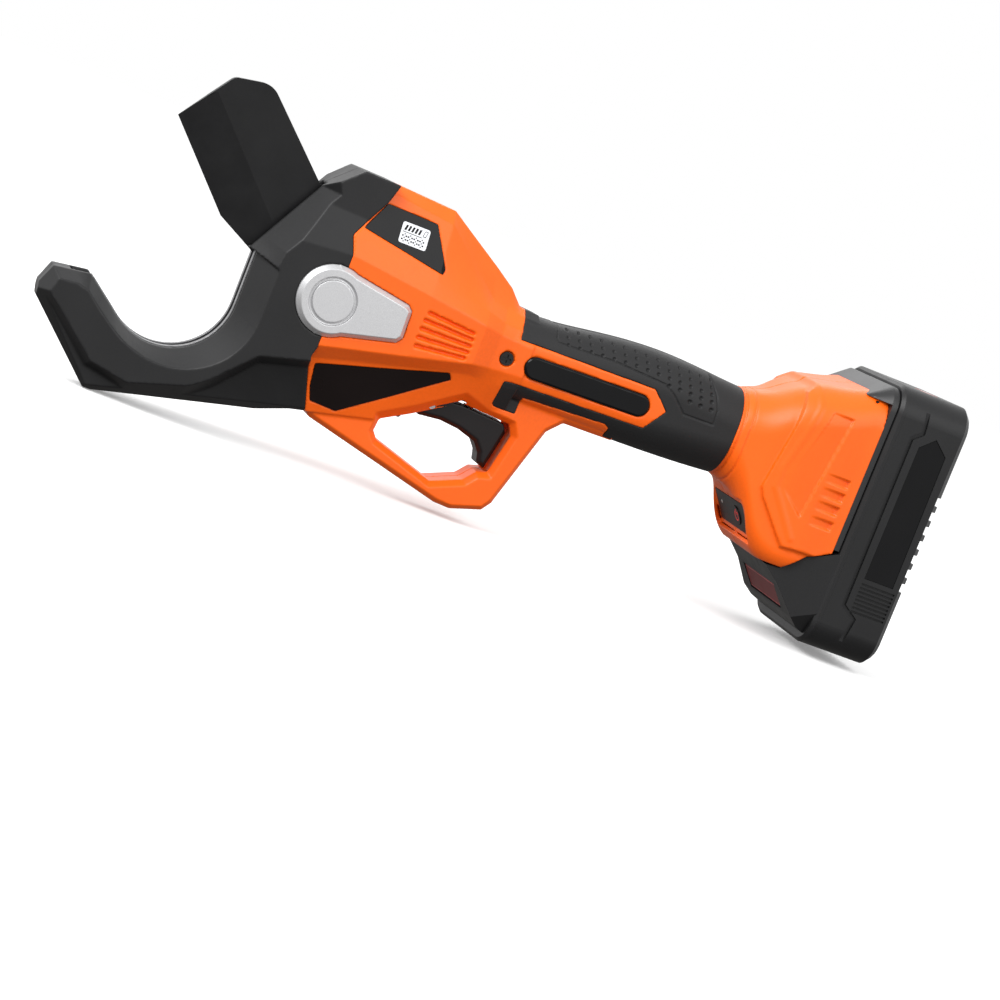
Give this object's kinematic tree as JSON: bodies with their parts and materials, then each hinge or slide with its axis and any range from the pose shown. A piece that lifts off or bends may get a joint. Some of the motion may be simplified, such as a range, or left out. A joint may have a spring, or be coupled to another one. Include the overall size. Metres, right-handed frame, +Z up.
{
  "type": "battery electric pruner",
  "caption": "Cordless pruner with a hooked jaw and broad swinging blade on a geared pivot, trigger guard, rubber handle and a slide-off battery pack.",
  "frame": {"origin": "where the handle axis meets the flat base of the battery pack", "axes": "+X along the handle from the cutting head to the battery, +Z up in use (trigger below), +Y to the right of the person holding it"},
  "size_m": [0.379, 0.073, 0.1385],
  "materials": {
    "head_plastic": "fine moulded grain, charcoal",
    "plate_steel": "blued steel plate with bright edges",
    "fastener_black": "black oxide",
    "blade_coating": "black low-friction coating, satin, bright ground edge",
    "bronze": "bearing bronze",
    "gear_steel": "machined steel",
    "silver_paint": "silver paint on plastic, satin",
    "gearbox_metal": "cast housing",
    "motor_can": "black motor can",
    "black_plastic": "moulded",
    "orange_plastic": "satin moulded plastic, fine grain",
    "grip_rubber": "soft overmoulded rubber with dimples",
    "gloss_black": "polished",
    "display_glass": "pale display",
    "panel_film": "plain dark film",
    "button_dark": "soft key",
    "circuit_board": "solder mask",
    "lamp_lens": "small clear lens",
    "trigger_plastic": "moulded, slightly glossy",
    "spring_steel": "wire",
    "pack_plastic": "fine moulded grain, charcoal",
    "red_plastic": "dark red button",
    "cell_wrap": "shrink wrap",
    "nickel": "nickel strip",
    "red_lens": "pink-red lens"
  },
  "bodies": {
    "tool": {"battery_receiver": "black_plastic", "blade_washers": "bronze", "controller_board": "circuit_board", "cradle_screws": "fastener_black", "display_module": "display_glass", "display_window": "gloss_black", "gearbox": "gearbox_metal", "grip_rubber_left": "grip_rubber", "grip_rubber_right": "grip_rubber", "head_cover_left": "head_plastic", "head_cover_right": "head_plastic", "housing_left": "orange_plastic", "housing_right": "orange_plastic", "housing_screws": "fastener_black", "jaw_bolts": "fastener_black", "jaw_plate_left": "plate_steel", "jaw_plate_right": "plate_steel", "jaw_spacer": "plate_steel", "motor": "motor_can", "motor_cradle": "black_plastic", "name_badge_left": "gloss_black", "name_badge_right": "gloss_black", "pivot_bushings": "bronze", "pivot_cover_left": "silver_paint", "pivot_cover_right": "silver_paint", "power_lamp": "lamp_lens", "power_panel": "panel_film", "power_switch": "circuit_board", "side_panel_left": "panel_film", "side_panel_right": "panel_film", "terminal_block": "black_plastic", "trigger_pin": "gear_steel", "trigger_spring": "spring_steel", "trigger_switch": "black_plastic"},
    "blade": {"blade": "blade_coating", "pivot_shaft": "gear_steel", "pivot_nut": "gear_steel", "blade_gear": "gear_steel"},
    "pinion": {"bevel_pinion": "gear_steel"},
    "trigger": {"trigger": "trigger_plastic"},
    "power_button": {"power_button": "button_dark"},
    "battery": {"pack_tub": "pack_plastic", "pack_cover": "pack_plastic", "release_springs": "spring_steel", "pack_label_plates": "gloss_black", "cells": "cell_wrap", "cell_straps": "nickel", "pack_board": "circuit_board", "gauge_lens": "red_lens", "charge_jack": "black_plastic", "pack_screws": "fastener_black"},
    "release_button": {"release_button": "red_plastic"}
  },
  "joints": [
    {"name": "blade_swing", "type": "hinge", "parent": "tool", "child": "blade", "pos_m": [-0.2702, 0, -0.0067], "axis": [0, -1, 0], "range_deg": [0, 65]},
    {"name": "pinion_spin", "type": "hinge", "parent": "tool", "child": "pinion", "pos_m": [-0.2402, 0, -0.0067], "axis": [1, 0, 0], "range_deg": [0, 230]},
    {"name": "trigger_pull", "type": "hinge", "parent": "tool", "child": "trigger", "pos_m": [-0.213, 0, -0.033], "axis": [0, -1, 0], "range_deg": [0, 4], "stiffness_Nm_per_rad": 0.4, "springref_deg": -8.59, "deforming": ["trigger_spring"]},
    {"name": "power_press", "type": "slide", "parent": "tool", "child": "power_button", "axis": [0.8142, 0, 0.5806], "range_m": [0, 0.001], "stiffness_N_per_m": 300, "springref_m": -0.002},
    {"name": "battery_slide", "type": "slide", "parent": "tool", "child": "battery", "axis": [0, 0, -1], "range_m": [0, 0.11]},
    {"name": "release_press", "type": "slide", "parent": "battery", "child": "release_button", "axis": [0.7598, 0, 0.6501], "range_m": [0, 0.002], "stiffness_N_per_m": 600, "springref_m": -0.003, "deforming": ["release_springs"]}
  ],
  "couplings": [
    {"joint": "pinion_spin", "follows": "blade_swing", "ratio": 3.4286}
  ]
}
